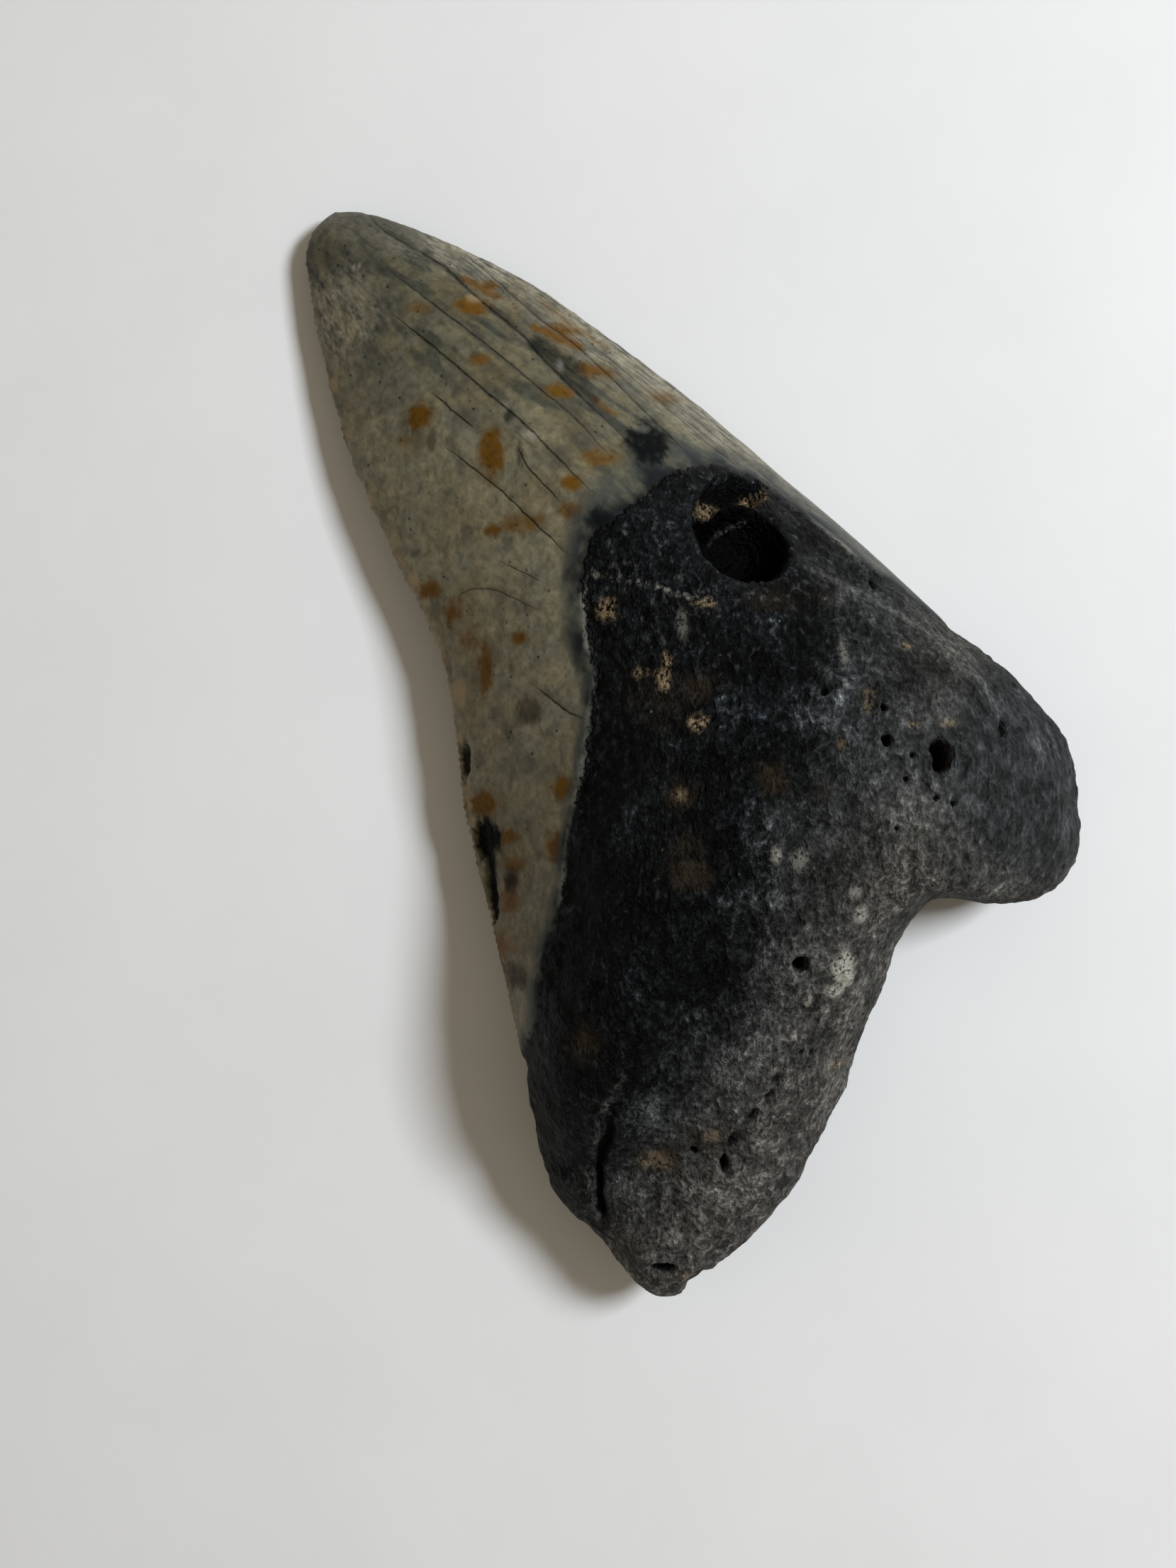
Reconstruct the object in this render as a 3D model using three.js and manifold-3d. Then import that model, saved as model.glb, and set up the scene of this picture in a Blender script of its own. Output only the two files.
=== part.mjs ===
import * as THREE from "three";
import { mergeVertices } from "three/addons/utils/BufferGeometryUtils.js";
import Module from "manifold-3d";

// A fossil shark tooth lying on its flat outer face, with its domed inner face up.
// Millimetres. +Z is up off the surface it lies on, +Y runs from the root to the tip,
// the longer root lobe is on the -X side and the shorter one on the +X side.

// Driving dimensions
const DOME_HEIGHT = 27;
const FLAT_FACE_HEIGHT = 0.8;
const SWELLING_RADIUS = 11;
const BORING_DIAMETER = 10.8;
const BORING_DEPTH = 8.5;
const BORING_MOUTH = new THREE.Vector3(26.9, -3, 20.2);
const BORING_LEAN = THREE.MathUtils.degToRad(30);

// The rim is the widest line of the tooth, clockwise from the tip as seen from above.
// Each point is x, y and its height above the surface. The stretches follow one another.
const TIP_CAP = [
  [16.1, 56.2, 3.0],
  [18.2, 57.7, 2.8],
  [20.4, 58.2, 2.6],
  [22.7, 57.6, 2.5],
];
const SHORT_EDGE = [
  [24.5, 56.0, 2.5],
  [26.2, 53.1, 2.5],
  [29.9, 44.6, 2.5],
  [33.2, 34.0, 2.5],
  [35.0, 22.9, 2.8],
  [36.3, 11.2, 3.0],
  [37.0, 0.0, 3.0],
  [37.7, -11.6, 3.5],
];
const SHORT_LOBE = [
  [37.8, -20.3, 4.0],
  [37.9, -28.1, 5.0],
  [38.6, -34.4, 7.0],
  [38.0, -40.0, 8.0],
  [36.8, -44.9, 8.0],
  [32.2, -51.4, 8.0],
  [29.6, -53.9, 8.0],
  [26.9, -54.6, 8.0],
  [23.7, -54.4, 8.0],
  [20.7, -52.9, 8.0],
  [18.1, -49.9, 8.0],
  [16.5, -46.6, 8.0],
];
const LONG_LOBE_INSIDE = [
  [14.8, -45.4, 8.0],
  [10.4, -45.6, 8.0],
  [3.8, -48.4, 8.0],
  [-6.0, -52.9, 8.0],
  [-14.0, -56.2, 8.0],
  [-22.3, -58.0, 8.0],
];
const LONG_LOBE_END = [
  [-29.1, -58.1, 8.0],
  [-34.2, -57.5, 8.0],
  [-37.6, -56.9, 8.0],
  [-39.2, -54.4, 8.0],
  [-38.7, -48.5, 9.0],
  [-38.5, -44.5, 9.0],
  [-38.9, -40.6, 9.0],
];
const LONG_LOBE_OUTSIDE = [
  [-37.1, -35.9, 9.0],
  [-34.4, -31.8, 8.8],
];
const LONG_SIDE = [
  [-31.4, -27.6, 8.5],
  [-25.2, -17.7, 7.8],
];
const LONG_EDGE = [
  [-19.6, -8.1, 7.0],
  [-15.0, -0.9, 7.0],
  [-8.0, 8.0, 7.0],
  [-4.0, 15.4, 6.5],
  [-1.8, 22.3, 6.0],
  [1.1, 30.3, 5.5],
  [4.2, 37.7, 4.5],
  [8.9, 45.9, 3.7],
  [13.5, 53.0, 3.2],
];

// The spine under the skin, from the tip over the dome and out along the longer lobe.
// Each point is x, y and the height of the ridge above it.
const SPINE = [
  [20.5, 53.0, 6.2],
  [20.2, 45.0, 9.2],
  [19.3, 35.0, 13.0],
  [18.2, 22.0, 17.0],
  [16.5, 8.0, 21.2],
  [14.0, -5.0, 24.9],
  [9.5, -17.0, DOME_HEIGHT],
  [1.0, -25.0, 26.3],
  [-10.0, -31.5, 24.2],
  [-20.5, -38.0, 20.8],
  [-29.5, -45.0, 15.0],
];

// The flat face swells a little where it rests, under the crown and under each lobe.
// Each swelling is x, y and how far it comes down.
const SWELLINGS = [
  [19.0, 34.0, 1.2],
  [24.0, -36.0, 1.9],
  [-24.0, -42.0, 1.3],
];

// The notch between the lobes, where the root stays full almost to its rim
const NOTCH = new THREE.Vector2(15, -45.5);
const NOTCH_REACH = 13;

// The part of the spine that carries the shorter lobe, as shares of its length
const DOME_START = 0.5;
const DOME_END = 0.68;

// Fineness of the skin: rows from the ridge to the rim and on to the keel, and columns round it
const ROWS_ABOVE = 15;
const ROWS_BELOW = 10;
const TIP_STEPS = 6;
const EDGE_STEPS = 32;
const DOME_STEPS = 24;
const LOBE_STEPS = 18;
const LOBE_END_STEPS = 12;

const { lerp, smoothstep } = THREE.MathUtils;

const pointOf = ([x, y, height]) => new THREE.Vector3(x, y, height);
const keelOf = ([x, y]) => new THREE.Vector3(x, y, FLAT_FACE_HEIGHT);

// How sharp the rim is: 1 at the cutting edges of the crown, 0 at the round root
const sharpTip = () => 1;
const sharpRoot = () => 0;
const sharpShortEdge = (y) => smoothstep(y, -34, 26);
const sharpLongEdge = (y) => smoothstep(y, -28, -6);

// How far out the round root keeps its height, most of all at the notch
function fullnessAt({ x, y }) {
  const away = Math.hypot(x - NOTCH.x, y - NOTCH.y) / NOTCH_REACH;
  return 2.3 + 2.4 * Math.exp(-away * away);
}

// Each stretch of the rim with the length of spine it hangs from
const stretches = [
  { rim: TIP_CAP, from: 0, to: 0, steps: TIP_STEPS, sharp: sharpTip },
  { rim: SHORT_EDGE, from: 0, to: DOME_START, steps: EDGE_STEPS, sharp: sharpShortEdge },
  { rim: SHORT_LOBE, from: DOME_START, to: DOME_END, steps: DOME_STEPS, sharp: sharpShortEdge },
  { rim: LONG_LOBE_INSIDE, from: DOME_END, to: 1, steps: LOBE_STEPS, sharp: sharpRoot },
  { rim: LONG_LOBE_END, from: 1, to: 1, steps: LOBE_END_STEPS, sharp: sharpRoot },
  { rim: LONG_LOBE_OUTSIDE, from: 1, to: DOME_END, steps: LOBE_STEPS, sharp: sharpLongEdge },
  { rim: LONG_SIDE, from: DOME_END, to: DOME_START, steps: DOME_STEPS, sharp: sharpLongEdge },
  { rim: LONG_EDGE, from: DOME_START, to: 0, steps: EDGE_STEPS, sharp: sharpLongEdge },
];

// One closed curve through every rim point, cut again into its stretches at even spacing
const rimPoints = stretches.flatMap(({ rim }) => rim.map(pointOf));
const rimCurve = new THREE.CatmullRomCurve3(rimPoints, true);
const FINE_STEPS = 80;

function rimStretch(first, count, steps) {
  const fine = [];
  for (let i = 0; i <= FINE_STEPS; i++) {
    const along = first + (count * i) / FINE_STEPS;
    fine.push(rimCurve.getPoint((along / rimPoints.length) % 1));
  }
  return new THREE.CatmullRomCurve3(fine).getSpacedPoints(steps);
}

// The columns of the skin: one for each step round the rim
const ridgeCurve = new THREE.CatmullRomCurve3(SPINE.map(pointOf));
const keelCurve = new THREE.CatmullRomCurve3(SPINE.map(keelOf));
const columns = [];
let firstPoint = 0;
for (const { rim, from, to, steps, sharp } of stretches) {
  const edge = rimStretch(firstPoint, rim.length, steps);
  for (let i = 0; i < steps; i++) {
    const along = from + ((to - from) * i) / steps;
    columns.push({
      edge: edge[i],
      ridge: ridgeCurve.getPointAt(along),
      keel: keelCurve.getPointAt(along),
      sharp: sharp(edge[i].y),
      fullness: fullnessAt(edge[i]),
    });
  }
  firstPoint += rim.length;
}
columns.push(columns[0]);
columns.reverse();

// Share of the full height left at a given way out from the spine (0) to the rim (1)
function heightAbove(way, sharp, fullness) {
  const round = Math.sqrt(1 - way ** fullness);
  const wedge = 1 - way ** 1.7;
  return lerp(round, wedge, sharp);
}

function heightBelow(way, sharp) {
  const round = Math.sqrt(1 - way ** 4);
  const wedge = 1 - way ** 2;
  return lerp(round, wedge, sharp);
}

// How far the flat face comes down at a point to meet the surface below it
function swellingAt(x, y) {
  let drop = 0;
  for (const [middleX, middleY, depth] of SWELLINGS) {
    const away = Math.hypot(x - middleX, y - middleY) / SWELLING_RADIUS;
    drop += depth * Math.exp(-away * away);
  }
  return drop;
}

function skinPoint({ edge, ridge, keel, sharp, fullness }, row) {
  const above = row <= ROWS_ABOVE;
  const turn = above ? row / ROWS_ABOVE : (ROWS_ABOVE + ROWS_BELOW - row) / ROWS_BELOW;
  const way = Math.min(1, Math.sin((turn * Math.PI) / 2));
  const spine = above ? ridge : keel;
  const share = above ? heightAbove(way, sharp, fullness) : heightBelow(way, sharp);
  const x = lerp(spine.x, edge.x, way);
  const y = lerp(spine.y, edge.y, way);
  const height = lerp(edge.z, spine.z, share);
  return new THREE.Vector3(x, y, above ? height : height - share * swellingAt(x, y));
}

// A plane grid wrapped round the tooth and closed along the ridge, the keel and the seam
function skinGeometry() {
  const rows = ROWS_ABOVE + ROWS_BELOW;
  const grid = new THREE.PlaneGeometry(1, 1, columns.length - 1, rows);
  const position = grid.getAttribute("position");
  let vertex = 0;
  for (let row = 0; row <= rows; row++) {
    for (const column of columns) {
      const point = skinPoint(column, row);
      position.setXYZ(vertex, point.x, point.y, point.z);
      vertex++;
    }
  }
  return grid;
}

const wasm = await Module();
wasm.setup();

// A closed geometry as a solid, without the triangles that shrink to a line where points meet
function solidOf(geometry) {
  const bare = geometry.clone();
  bare.deleteAttribute("normal");
  bare.deleteAttribute("uv");
  const merged = mergeVertices(bare, 1e-4);
  const index = merged.index.array;
  const kept = [];
  for (let i = 0; i < index.length; i += 3) {
    const [a, b, c] = index.slice(i, i + 3);
    if (a !== b && b !== c && c !== a) {
      kept.push(a, b, c);
    }
  }
  const mesh = new wasm.Mesh({
    numProp: 3,
    vertProperties: new Float32Array(merged.attributes.position.array),
    triVerts: new Uint32Array(kept),
  });
  return new wasm.Manifold(mesh);
}

function geometryOf(solid) {
  const mesh = solid.getMesh();
  const geometry = new THREE.BufferGeometry();
  geometry.setAttribute("position", new THREE.BufferAttribute(new Float32Array(mesh.vertProperties), 3));
  geometry.setIndex(new THREE.BufferAttribute(new Uint32Array(mesh.triVerts), 1));
  geometry.computeVertexNormals();
  return geometry;
}

// The boring: a blind round hole with a rounded floor, square to the skin where it enters
function boringGeometry() {
  const radius = BORING_DIAMETER / 2;
  const profile = [
    new THREE.Vector2(0, -BORING_DEPTH),
    new THREE.Vector2(radius * 0.45, -BORING_DEPTH * 0.95),
    new THREE.Vector2(radius * 0.78, -BORING_DEPTH * 0.8),
    new THREE.Vector2(radius * 0.92, -BORING_DEPTH * 0.5),
    new THREE.Vector2(radius, 0),
    new THREE.Vector2(radius * 1.08, BORING_DEPTH),
    new THREE.Vector2(0, BORING_DEPTH),
  ];
  const boring = new THREE.LatheGeometry(profile, 32);
  boring.rotateX(Math.PI / 2);
  boring.rotateY(BORING_LEAN);
  boring.translate(BORING_MOUTH.x, BORING_MOUTH.y, BORING_MOUTH.z);
  return boring;
}

// Everything below the surface it lies on, which leaves small worn flats where it rests
function groundGeometry() {
  const ground = new THREE.BoxGeometry(200, 200, 20);
  ground.translate(0, 0, -10);
  return ground;
}

function toothGeometry() {
  const whole = solidOf(skinGeometry());
  const bored = whole.subtract(solidOf(boringGeometry()));
  const rested = bored.subtract(solidOf(groundGeometry()));
  const geometry = geometryOf(rested);
  geometry.computeBoundingBox();
  const middle = geometry.boundingBox.getCenter(new THREE.Vector3());
  geometry.translate(-middle.x, -middle.y, -geometry.boundingBox.min.z);
  return geometry;
}

const tooth = new THREE.Mesh(
  toothGeometry(),
  new THREE.MeshStandardMaterial({ color: 0x55534c, roughness: 0.55, metalness: 0 }),
);
tooth.name = "tooth";

const part = new THREE.Group();
part.name = "megalodon_tooth";
part.add(tooth);

export default part;
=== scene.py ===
import math
import random

import bmesh
import bpy
import numpy as np
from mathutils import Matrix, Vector, noise


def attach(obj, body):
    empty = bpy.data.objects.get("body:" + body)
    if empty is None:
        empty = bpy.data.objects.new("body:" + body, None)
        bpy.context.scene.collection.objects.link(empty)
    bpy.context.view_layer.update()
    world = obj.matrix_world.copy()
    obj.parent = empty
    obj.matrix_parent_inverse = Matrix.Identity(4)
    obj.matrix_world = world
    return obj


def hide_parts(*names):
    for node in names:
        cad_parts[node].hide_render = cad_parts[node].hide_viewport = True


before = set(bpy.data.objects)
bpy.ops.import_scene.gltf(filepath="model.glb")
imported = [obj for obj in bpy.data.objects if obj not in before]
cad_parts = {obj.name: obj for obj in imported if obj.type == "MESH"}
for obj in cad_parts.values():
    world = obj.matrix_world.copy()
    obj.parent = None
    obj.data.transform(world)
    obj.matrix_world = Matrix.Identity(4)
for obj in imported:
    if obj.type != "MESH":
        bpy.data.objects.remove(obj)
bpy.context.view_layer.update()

bl_info = {
    "name": "Fossil shark tooth",
    "version": (1, 0, 0),
    "blender": (4, 5, 0),
    "location": "View3D > Sidebar > Fossil",
    "description": "Gives a fossil shark tooth its skin, its finish and a stage to lie on",
    "category": "Add Mesh",
}

MM = 0.001
WELD = 0.001 * MM

# Places on the tooth are x, y in millimetres, seen from above: +y runs from the root to the tip.
# The domed inner face is up. A line runs through its points in order.

# The grain of the root runs along the diagonal from the long lobe to the tip
LENGTHWISE = math.radians(-45)

# Where the enamel ends on the inner face and on the outer face, from the long side to the short side
INNER_FOOT = (
    (-30.0, -26.0), (-25.4, -23.9), (-19.5, -19.2), (-14.8, -16.9), (-9.4, -12.8), (-1.4, -7.2),
    (5.6, -2.2), (7.1, 0.9), (11.6, 6.0), (15.6, 8.6), (19.0, 8.0), (22.4, 7.6), (25.6, 7.9), (29.0, 6.6),
    (31.9, 4.6), (33.6, 0.8), (34.4, -6.0), (34.9, -13.0), (35.9, -18.0), (36.9, -23.0), (38.3, -26.5),
    (42.0, -28.0),
)
OUTER_FOOT = ((-34.0, -28.0), (-20.0, -23.0), (3.0, -20.0), (22.0, -22.0), (42.0, -28.0))

# The cutting edges, from the root to the tip
LONG_EDGE = (
    (-30.0, -26.0), (-19.3, -8.1), (-7.7, 8.0), (-3.7, 15.4), (1.4, 30.3), (4.5, 37.7), (9.2, 45.9),
    (16.4, 56.2),
)
SHORT_EDGE = ((38.1, -20.3), (37.3, 0.0), (35.3, 22.9), (33.5, 34.0), (30.2, 44.6), (24.8, 56.0))
SHORT_EDGE_WEAR = 2.5
TIP = (20.5, 58.0)

# The rim of the root, from the short lobe through the notch to the end of the long lobe
ROOT_RIM = (
    (38.9, -33.0), (37.1, -45.0), (29.9, -53.9), (24.0, -54.4), (18.4, -49.9), (15.1, -45.4),
    (10.7, -45.6), (-5.7, -52.9), (-22.0, -58.0), (-34.0, -57.5), (-38.5, -55.5),
)

# The centre of the arcs that the fibres of the short lobe follow
ARC_CENTRE = (19.0, -31.0)

# Where the black of the root turns to grey, from the short side to the end of the long lobe
GREY_BORDER = (
    (38.0, -8.0), (31.5, -13.6), (24.0, -20.2), (15.0, -24.0), (6.5, -27.3), (-2.5, -33.6), (-11.0, -37.8),
    (-22.0, -37.0), (-31.0, -40.0), (-40.0, -44.0),
)

# Broad places where the root is lighter (+) or darker (-), as spots: each whole step doubles or halves it
BLACK_HOLLOW = (-11.0, -20.0, 6.0, 13.0, -1.4)
# Painted highlight: the root by the enamel foot is lightened in place of glints
PAINTED_GLINT_FOOT = (9.5, -1.5, 3.0, 8.0, 0.8)
PALE_SHOULDER = (18.0, -32.0, 6.0, 6.0, 0.9)
PALE_SHORT_LOBE = (30.0, -34.0, 5.0, 5.0, 0.6)
DARK_SADDLE = (29.0, -26.0, 4.0, 4.0, -0.7)
PALE_LONG_LOBE = (-26.0, -48.0, 5.0, 5.0, 1.0)
ROOT_TONES = (BLACK_HOLLOW, PAINTED_GLINT_FOOT, PALE_SHOULDER, PALE_SHORT_LOBE, DARK_SADDLE, PALE_LONG_LOBE)

# Cracks in the enamel: how strong each is, and its line
CRACKS = (
    (0.8, ((18.3, 42.3), (18.7, 36.0), (18.9, 29.4), (19.2, 22.8), (18.8, 12.2))),
    (0.7, ((21.6, 46.3), (22.9, 31.8), (23.6, 19.1), (23.1, 13.7))),
    (
        1.0,
        ((25.0, 54.9), (24.8, 51.0), (26.6, 42.8), (26.3, 39.0), (26.7, 30.6), (26.2, 26.8), (25.9, 13.9)),
    ),
    (0.75, ((29.7, 42.8), (29.7, 31.2), (30.5, 26.9), (30.5, 20.8), (29.9, 9.8), (30.0, 6.6))),
    (0.7, ((14.9, 32.7), (15.2, 26.4))),
    (0.7, ((11.8, 27.3), (12.4, 19.4), (12.3, 9.3))),
    (0.6, ((16.9, 21.3), (16.1, 19.0), (15.8, 13.6))),
    (0.5, ((1.0, 15.4), (2.9, 14.5), (4.4, 12.6), (5.1, 10.5), (6.1, 7.2))),
    (0.8, ((0.2, 1.6), (0.6, -2.9), (1.4, -4.6))),
    (0.45, ((7.1, 14.0), (8.4, 9.4))),
    (0.45, ((32.0, 28.0), (32.6, 18.0), (32.8, 8.0), (33.6, 0.0))),
    (0.4, ((33.8, 18.0), (34.6, 6.0), (35.1, -5.0), (35.6, -13.0))),
    (0.35, ((28.0, 46.0), (28.6, 40.0), (28.7, 36.0))),
)
OUTER_CRACKS = 13
OUTER_CRACK_SEED = 5

# Spots are x, y, their half width and half height along the two diagonals, and how strong they are:
# the width lies along (1, -1) and the height along (1, 1)
RUST_SPOTS = (
    (12.3, 32.1, 1.4, 1.4, 1.0), (14.5, 22.8, 1.3, 2.6, 0.95), (25.2, 37.1, 1.9, 1.3, 1.0),
    (28.1, 38.1, 1.7, 1.0, 0.7), (20.8, 40.8, 1.5, 0.8, 0.5), (30.9, 28.5, 2.0, 0.9, 0.7),
    (29.7, 22.3, 2.3, 1.0, 0.75), (24.6, 22.8, 1.8, 1.0, 0.85), (20.9, 31.5, 1.4, 0.8, 0.6),
    (33.3, 15.2, 2.0, 1.0, 0.5), (22.3, 13.9, 2.4, 1.2, 0.6), (17.9, 14.2, 1.3, 0.9, 0.9),
    (16.0, 12.0, 1.4, 0.9, 0.85), (11.6, 14.9, 3.0, 1.1, 0.6), (9.0, 16.9, 1.0, 0.8, 0.8),
    (9.6, 31.4, 1.7, 0.7, 0.4), (-0.4, 18.3, 1.4, 1.0, 0.9), (5.1, 38.1, 0.5, 1.1, 0.7),
    (-0.4, 14.4, 1.2, 1.6, 0.7), (2.7, 6.7, 1.1, 0.7, 0.9), (-2.2, 7.2, 0.9, 3.0, 0.8),
    (-1.2, 10.9, 1.2, 1.4, 0.5), (-13.1, -2.9, 1.9, 1.4, 1.0), (-5.4, -7.9, 1.2, 1.3, 0.95),
    (-10.5, -12.0, 0.9, 1.5, 1.0), (-13.5, -7.7, 1.1, 0.9, 0.85), (-15.1, -10.2, 1.3, 1.0, 0.7),
    (-18.5, -12.7, 1.3, 1.7, 0.7), (-22.7, -15.5, 1.7, 1.9, 0.6), (-26.5, -43.5, 1.8, 1.1, 0.8),
    (-20.3, -45.4, 0.7, 0.9, 0.6),
)
HAZE_SPOTS = (
    (25.2, 40.1, 3.0, 2.0, 0.7), (21.0, 28.7, 3.0, 2.0, 0.6), (17.3, 28.4, 2.4, 1.8, 0.5),
    (28.6, 34.0, 1.6, 4.0, 0.8), (15.0, 16.0, 3.5, 3.0, 0.5), (-1.0, 12.0, 2.5, 5.0, 0.6),
    (-15.0, -9.5, 3.0, 4.0, 0.7), (9.6, 30.9, 2.2, 1.2, 0.5), (23.0, 19.0, 2.0, 4.0, 0.5),
    (31.0, 30.0, 2.0, 5.0, 0.4), (-20.5, -17.0, 2.0, 3.0, 0.7), (19.5, 17.0, 2.2, 2.2, 0.5),
    (-6.0, 6.0, 2.0, 4.0, 0.5), (-0.5, 14.1, 1.8, 2.4, 0.8), (-2.6, 8.4, 1.4, 3.4, 0.8),
    (-22.0, -14.6, 2.0, 2.6, 0.9), (-17.0, -11.6, 1.6, 3.2, 1.0), (7.5, 21.0, 4.0, 4.0, 0.35),
    (29.6, 27.7, 2.0, 3.0, 0.6),
)
TAN_SPOTS = (
    (-6.3, 7.7, 0.9, 2.1, 0.8), (-0.8, 20.5, 0.7, 0.8, 0.9), (8.5, 42.9, 0.6, 0.9, 0.8),
    (5.6, 38.0, 0.5, 0.8, 0.6), (10.9, 1.9, 1.1, 1.2, 0.9), (9.8, -7.6, 0.8, 1.1, 0.8),
    (8.5, -5.3, 0.8, 0.5, 0.8), (11.4, -6.4, 0.5, 0.8, 0.9), (9.2, -13.1, 1.0, 0.9, 0.9),
    (2.6, -17.1, 0.8, 0.9, 0.4), (24.9, -29.0, 0.8, 0.4, 0.6), (27.7, -31.5, 1.0, 0.4, 0.6),
    (30.5, -22.9, 0.6, 0.35, 0.7), (26.0, 37.6, 1.0, 0.7, 0.6), (28.2, 2.2, 1.5, 0.9, 0.6),
    (32.3, -0.4, 1.1, 1.0, 0.9), (18.7, -5.0, 1.4, 0.5, 0.6), (23.5, -23.9, 0.7, 1.4, 0.35),
    (18.1, -24.9, 0.6, 0.8, 0.25), (-33.8, -55.6, 1.0, 0.6, 0.4), (-5.6, -50.1, 1.2, 0.7, 0.4),
)
BROWN_SPOTS = (
    (2.6, -17.1, 1.6, 1.6, 0.9), (10.3, -22.3, 1.9, 1.8, 1.0), (11.4, -10.4, 2.6, 1.8, 0.7),
    (23.5, -9.2, 2.6, 1.2, 0.6), (-0.7, -21.1, 2.0, 1.4, 0.7), (13.1, -27.1, 1.3, 1.2, 0.6),
    (-2.4, -23.4, 2.3, 1.9, 1.0), (-22.5, -28.5, 1.7, 2.4, 1.0), (28.3, -13.7, 2.4, 1.0, 0.5),
    (-26.5, -43.5, 2.6, 1.6, 0.6), (8.0, -9.0, 3.5, 3.0, 0.4), (-21.0, -45.0, 3.0, 2.0, 0.5),
)
CHALK_SPOTS = (
    (1.8, -41.9, 1.2, 2.1, 1.0), (-0.2, -42.9, 1.3, 0.8, 0.9), (-2.8, -41.5, 0.4, 0.7, 0.7),
    (-6.9, -43.6, 0.3, 0.9, 0.7), (7.1, -39.1, 0.8, 1.1, 0.65), (8.3, -36.7, 0.7, 0.6, 0.45),
    (5.2, -28.3, 0.6, 0.8, 0.7), (6.6, -30.4, 1.0, 1.2, 0.3), (10.2, -41.2, 0.5, 0.5, 0.4),
    (25.2, -18.4, 0.5, 1.6, 0.3), (15.2, -4.9, 0.6, 1.6, 0.2),
)
DARK_SPOTS = (
    (-11.3, 2.1, 0.8, 2.2, 0.85), (-15.6, -5.9, 1.9, 2.5, 1.1), (-16.6, -11.2, 1.0, 1.6, 0.7),
    (-2.1, 0.3, 1.7, 1.7, 0.6), (27.4, 11.9, 2.7, 3.0, 0.95), (27.2, 23.2, 1.8, 1.5, 0.55),
    (11.1, 28.9, 0.7, 1.3, 0.45), (16.5, 20.4, 0.5, 1.6, 0.6), (18.7, 24.4, 0.7, 0.9, 0.7),
    (15.9, 51.5, 1.5, 0.9, 0.3), (24.4, 45.5, 3.0, 2.2, 0.35), (-23.6, -18.9, 1.6, 1.9, 0.6),
    (-6.4, -4.4, 2.2, 1.4, 0.25), (5.4, 0.2, 1.1, 1.8, 0.5), (11.0, 7.2, 1.1, 1.1, 0.5),
    (17.2, 9.2, 1.6, 1.2, 0.8), (-5.0, 11.0, 0.7, 1.4, 0.4),
)
# Painted highlights: pale spots standing in for glints of the window on the shiny enamel, the largest on
# the dark blob
PAINTED_GLINT_SPOTS = (
    (28.2, 13.6, 1.0, 0.5, 0.16), (18.8, 21.2, 0.9, 0.4, 0.35), (2.8, 20.0, 0.9, 0.4, 0.3),
    (19.5, 50.0, 0.6, 0.3, 0.4), (27.1, 25.2, 0.4, 0.7, 0.25),
)

# Streaks are a half width, a strength and a line
DARK_STREAKS = (
    (0.6, 0.4, ((25.1, 51.0), (26.6, 45.4))), (0.6, 0.45, ((26.3, 43.9), (26.5, 40.4))),
    (0.7, 0.45, ((26.6, 35.4), (26.8, 32.0))), (1.5, 0.66, ((27.1, 28.7), (27.9, 24.0))),
    (0.9, 0.5, ((27.1, 22.6), (26.9, 19.7))), (0.9, 1.0, ((-16.6, -7.6), (-18.8, -10.0), (-21.7, -12.5))),
)
RUST_STREAKS = (
    (0.7, 0.65, ((27.1, 40.3), (28.1, 36.3))), (0.8, 0.7, ((28.5, 30.6), (30.6, 25.8))),
    (0.5, 0.5, ((26.8, 19.6), (27.2, 16.8))), (0.6, 0.4, ((31.6, 33.0), (33.0, 24.0))),
)
PALE_STREAKS = (
    (0.13, 0.45, ((12.6, 5.8), (13.4, 4.4), (15.7, 0.7), (17.7, -3.1), (18.9, -4.7))),
    (0.35, 0.16, ((28.9, -9.6), (31.5, -15.6), (32.9, -19.8), (34.2, -25.5))),
    (0.35, 0.16, ((35.7, -21.1), (34.2, -28.9), (33.1, -34.2))),
    (0.18, 0.2, ((34.4, -6.8), (35.1, -10.9), (34.8, -15.3))),
    (0.14, 0.32, ((24.8, -0.3), (25.9, -0.2), (29.1, -1.5))),
    (0.22, 0.3, ((12.4, 6.2), (10.2, 4.6), (8.0, 2.2), (6.6, 0.2))),
    (0.16, 0.14, ((5.4, -2.0), (-1.4, -7.0), (-9.4, -12.6), (-14.8, -16.7))),
)

# Holes in the root: spots with a depth
PORES = (
    (24.6, -33.2, 1.1, 1.8, 3.2), (21.6, -28.0, 0.6, 0.75, 1.8), (31.9, -36.2, 0.4, 1.0, 1.2),
    (24.0, -25.5, 0.4, 0.45, 1.0), (22.5, -31.1, 0.35, 0.35, 0.8), (20.2, -32.3, 0.4, 0.4, 0.8),
    (21.9, -37.6, 0.4, 0.4, 0.8), (21.0, -35.9, 0.35, 0.35, 0.7), (15.9, -35.2, 0.35, 0.35, 0.7),
    (-1.0, -38.3, 0.85, 0.95, 2.4), (-7.4, -45.4, 0.35, 0.35, 0.8), (-6.6, -46.5, 0.35, 0.35, 0.8),
    (-23.0, -45.2, 0.45, 0.45, 1.1), (-21.8, -48.6, 0.4, 1.2, 1.2), (20.6, -20.0, 0.4, 0.45, 0.8),
    (-35.0, -53.0, 1.5, 0.7, 0.9), (34.0, -15.8, 0.5, 1.2, 0.9),
)
DIPS = (
    (-2.7, -32.3, 1.7, 3.1, 0.55), (25.5, -39.1, 1.3, 1.5, 0.45), (27.0, -32.1, 1.9, 1.5, 0.5),
    (32.8, -13.2, 1.6, 2.0, 0.6), (-34.0, -57.8, 1.9, 2.2, 1.0), (23.5, -24.0, 1.0, 1.8, 0.4),
    (-22.5, -28.5, 1.4, 2.0, 0.35), (18.1, -24.9, 0.9, 1.3, 0.3),
)
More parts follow.
